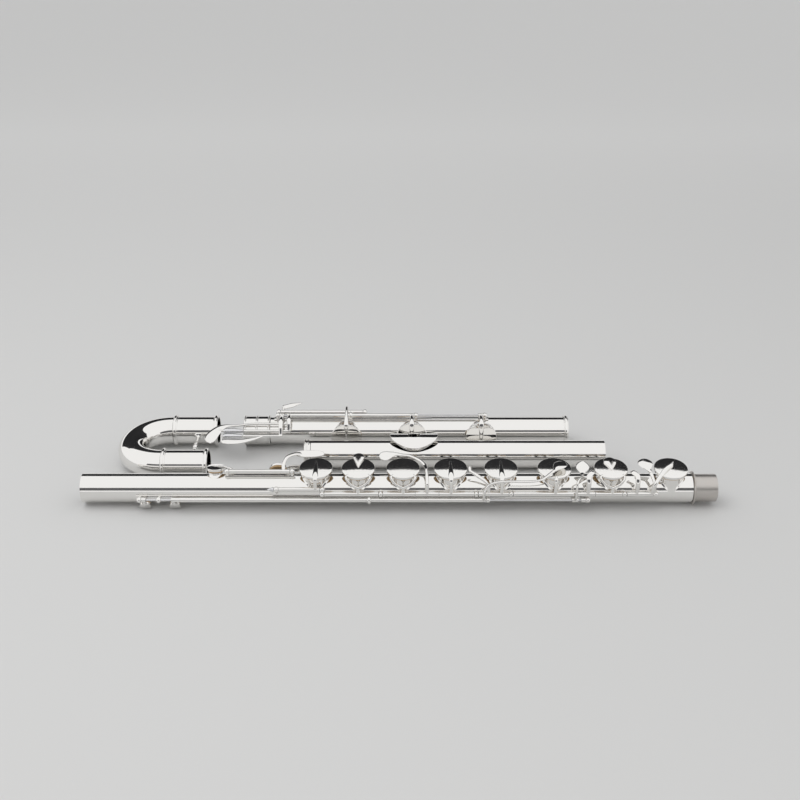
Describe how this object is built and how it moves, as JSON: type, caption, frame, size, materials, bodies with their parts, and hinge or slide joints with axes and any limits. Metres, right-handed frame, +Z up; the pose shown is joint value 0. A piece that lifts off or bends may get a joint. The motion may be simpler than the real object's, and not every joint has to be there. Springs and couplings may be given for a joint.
{
  "type": "bass flute",
  "caption": "Bass flute taken apart: keyed body joint, U-shaped crook, head tube with lip plate, and keyed foot joint, lying side by side.",
  "frame": {"origin": "centre of the bounding box in X and Y, on the flat surface that the sections lie on", "axes": "+X along the tubes towards the foot end, +Y to the back where the foot joint lies, +Z up"},
  "size_m": [0.6222, 0.1678, 0.0457],
  "materials": {
    "silver_plate": "polished silver plate",
    "satin_silver": "satin",
    "rod_steel": "ground steel",
    "pad_skin": "matt skin over felt",
    "cork": "natural cork"
  },
  "bodies": {
    "body_joint": {"body_tube": "silver_plate", "body_tenon": "satin_silver", "main_post_rib": "silver_plate", "trill_post_rib": "silver_plate", "b_rod": "rod_steel", "left_hand_rod": "rod_steel", "right_hand_rod": "rod_steel", "c_sharp_posts": "silver_plate", "c_sharp_rod": "rod_steel", "thumb_posts": "silver_plate", "thumb_rod": "rod_steel"},
    "b": {"b_key": "silver_plate", "b_pad": "pad_skin"},
    "a_sharp": {"a_sharp_key": "silver_plate", "a_sharp_pad": "pad_skin"},
    "a": {"a_key": "silver_plate", "a_pad": "pad_skin"},
    "g_sharp": {"g_sharp_key": "silver_plate", "g_sharp_pad": "pad_skin"},
    "g": {"g_key": "silver_plate", "g_pad": "pad_skin"},
    "f_sharp": {"f_sharp_key": "silver_plate", "f_sharp_pad": "pad_skin"},
    "f": {"f_key": "silver_plate", "f_pad": "pad_skin"},
    "e": {"e_key": "silver_plate", "e_pad": "pad_skin"},
    "lever": {"g_sharp_lever": "silver_plate"},
    "c_sharp": {"c_sharp_key": "silver_plate", "c_sharp_pad": "pad_skin"},
    "trill_d": {"trill_d_key": "silver_plate", "trill_d_pad": "pad_skin"},
    "trill_d_sharp": {"trill_d_sharp_key": "silver_plate", "trill_d_sharp_pad": "pad_skin"},
    "thumb": {"thumb_key": "silver_plate", "thumb_pad": "pad_skin"},
    "crook": {"crook_bend": "silver_plate", "front_sleeve": "silver_plate", "rear_sleeve": "silver_plate", "crook_brace": "silver_plate"},
    "head": {"head_tube": "silver_plate", "lip_plate": "silver_plate", "crown": "silver_plate", "stopper_screw": "rod_steel", "stopper_cork": "cork"},
    "foot_joint": {"foot_tube": "silver_plate", "foot_socket": "silver_plate", "foot_end_ring": "silver_plate", "foot_post_rib": "silver_plate", "foot_back_posts": "silver_plate", "foot_back_rod": "rod_steel"},
    "d_sharp_foot": {"d_sharp_foot_key": "silver_plate", "d_sharp_foot_pad": "pad_skin"},
    "c_sharp_foot": {"c_sharp_foot_key": "silver_plate", "c_sharp_foot_pad": "pad_skin"},
    "c_foot": {"c_foot_key": "silver_plate", "c_foot_pad": "pad_skin"},
    "upper_roll": {"upper_roller": "rod_steel"},
    "lower_roll": {"lower_roller": "rod_steel"}
  },
  "joints": [
    {"name": "b_hinge", "type": "hinge", "parent": "body_joint", "child": "b", "pos_m": [0.00085, -0.07408, 0.02498], "axis": [1, 0, 0], "range_deg": [-7.5, 0], "stiffness_Nm_per_rad": 0.05, "springref_deg": 28.65},
    {"name": "a_sharp_hinge", "type": "hinge", "parent": "body_joint", "child": "a_sharp", "pos_m": [0.00085, -0.07549, 0.02077], "axis": [1, 0, 0], "range_deg": [-7.5, 0], "stiffness_Nm_per_rad": 0.05, "springref_deg": 28.65},
    {"name": "a_hinge", "type": "hinge", "parent": "body_joint", "child": "a", "pos_m": [0.00085, -0.07549, 0.02077], "axis": [1, 0, 0], "range_deg": [-7.5, 0], "stiffness_Nm_per_rad": 0.05, "springref_deg": 28.65},
    {"name": "g_sharp_hinge", "type": "hinge", "parent": "body_joint", "child": "g_sharp", "pos_m": [0.00085, -0.07549, 0.02077], "axis": [1, 0, 0], "range_deg": [-7.5, 0], "stiffness_Nm_per_rad": 0.05, "springref_deg": 28.65},
    {"name": "g_hinge", "type": "hinge", "parent": "body_joint", "child": "g", "pos_m": [0.00085, -0.07549, 0.02077], "axis": [1, 0, 0], "range_deg": [-7.5, 0], "stiffness_Nm_per_rad": 0.05, "springref_deg": 28.65},
    {"name": "f_sharp_hinge", "type": "hinge", "parent": "body_joint", "child": "f_sharp", "pos_m": [0.00085, -0.07549, 0.02077], "axis": [1, 0, 0], "range_deg": [-7.5, 0], "stiffness_Nm_per_rad": 0.05, "springref_deg": 28.65},
    {"name": "f_hinge", "type": "hinge", "parent": "body_joint", "child": "f", "pos_m": [0.00085, -0.07549, 0.02077], "axis": [1, 0, 0], "range_deg": [-7.5, 0], "stiffness_Nm_per_rad": 0.05, "springref_deg": 28.65},
    {"name": "e_hinge", "type": "hinge", "parent": "body_joint", "child": "e", "pos_m": [0.00085, -0.07549, 0.02077], "axis": [1, 0, 0], "range_deg": [-7.5, 0], "stiffness_Nm_per_rad": 0.05, "springref_deg": 28.65},
    {"name": "lever_hinge", "type": "hinge", "parent": "body_joint", "child": "lever", "pos_m": [0.00085, -0.07549, 0.02077], "axis": [1, 0, 0], "range_deg": [-6, 0], "stiffness_Nm_per_rad": 0.05, "springref_deg": 28.65},
    {"name": "c_sharp_hinge", "type": "hinge", "parent": "body_joint", "child": "c_sharp", "pos_m": [0.00085, -0.05837, 0.03619], "axis": [1, 0, 0], "range_deg": [-7.5, 0], "stiffness_Nm_per_rad": 0.05, "springref_deg": 28.65},
    {"name": "trill_d_hinge", "type": "hinge", "parent": "body_joint", "child": "trill_d", "pos_m": [0.00085, -0.07577, 0.01431], "axis": [1, 0, 0], "range_deg": [-6, 0], "stiffness_Nm_per_rad": 0.05, "springref_deg": 28.65},
    {"name": "trill_d_sharp_hinge", "type": "hinge", "parent": "body_joint", "child": "trill_d_sharp", "pos_m": [0.00085, -0.07577, 0.01431], "axis": [1, 0, 0], "range_deg": [-6, 0], "stiffness_Nm_per_rad": 0.05, "springref_deg": 28.65},
    {"name": "thumb_hinge", "type": "hinge", "parent": "body_joint", "child": "thumb", "pos_m": [0.00085, -0.03815, 0.00936], "axis": [1, 0, 0], "range_deg": [0, 7.5], "stiffness_Nm_per_rad": 0.05, "springref_deg": -28.65},
    {"name": "crook_lift", "type": "slide", "parent": "body_joint", "child": "crook", "axis": [0, 0, 1], "range_m": [0, 0.08]},
    {"name": "head_lift", "type": "slide", "parent": "body_joint", "child": "head", "axis": [0, 0, 1], "range_m": [0, 0.08]},
    {"name": "foot_lift", "type": "slide", "parent": "body_joint", "child": "foot_joint", "axis": [0, 0, 1], "range_m": [0, 0.08]},
    {"name": "d_sharp_foot_hinge", "type": "hinge", "parent": "foot_joint", "child": "d_sharp_foot", "pos_m": [0.00085, 0.07238, 0.03512], "axis": [1, 0, 0], "range_deg": [-7.5, 0], "stiffness_Nm_per_rad": 0.05, "springref_deg": 28.65},
    {"name": "c_sharp_foot_hinge", "type": "hinge", "parent": "foot_joint", "child": "c_sharp_foot", "pos_m": [0.00085, 0.06261, 0.03606], "axis": [1, 0, 0], "range_deg": [0, 7.5], "stiffness_Nm_per_rad": 0.05, "springref_deg": -28.65},
    {"name": "c_foot_hinge", "type": "hinge", "parent": "foot_joint", "child": "c_foot", "pos_m": [0.00085, 0.06261, 0.03606], "axis": [1, 0, 0], "range_deg": [0, 7.5], "stiffness_Nm_per_rad": 0.05, "springref_deg": -28.65},
    {"name": "upper_roller_spin", "type": "hinge", "parent": "c_sharp_foot", "child": "upper_roll", "pos_m": [-0.18565, 0.04502, 0.02658], "axis": [1, 0, 0], "continuous": true},
    {"name": "lower_roller_spin", "type": "hinge", "parent": "c_foot", "child": "lower_roll", "pos_m": [-0.18565, 0.03732, 0.02438], "axis": [1, 0, 0], "continuous": true}
  ]
}
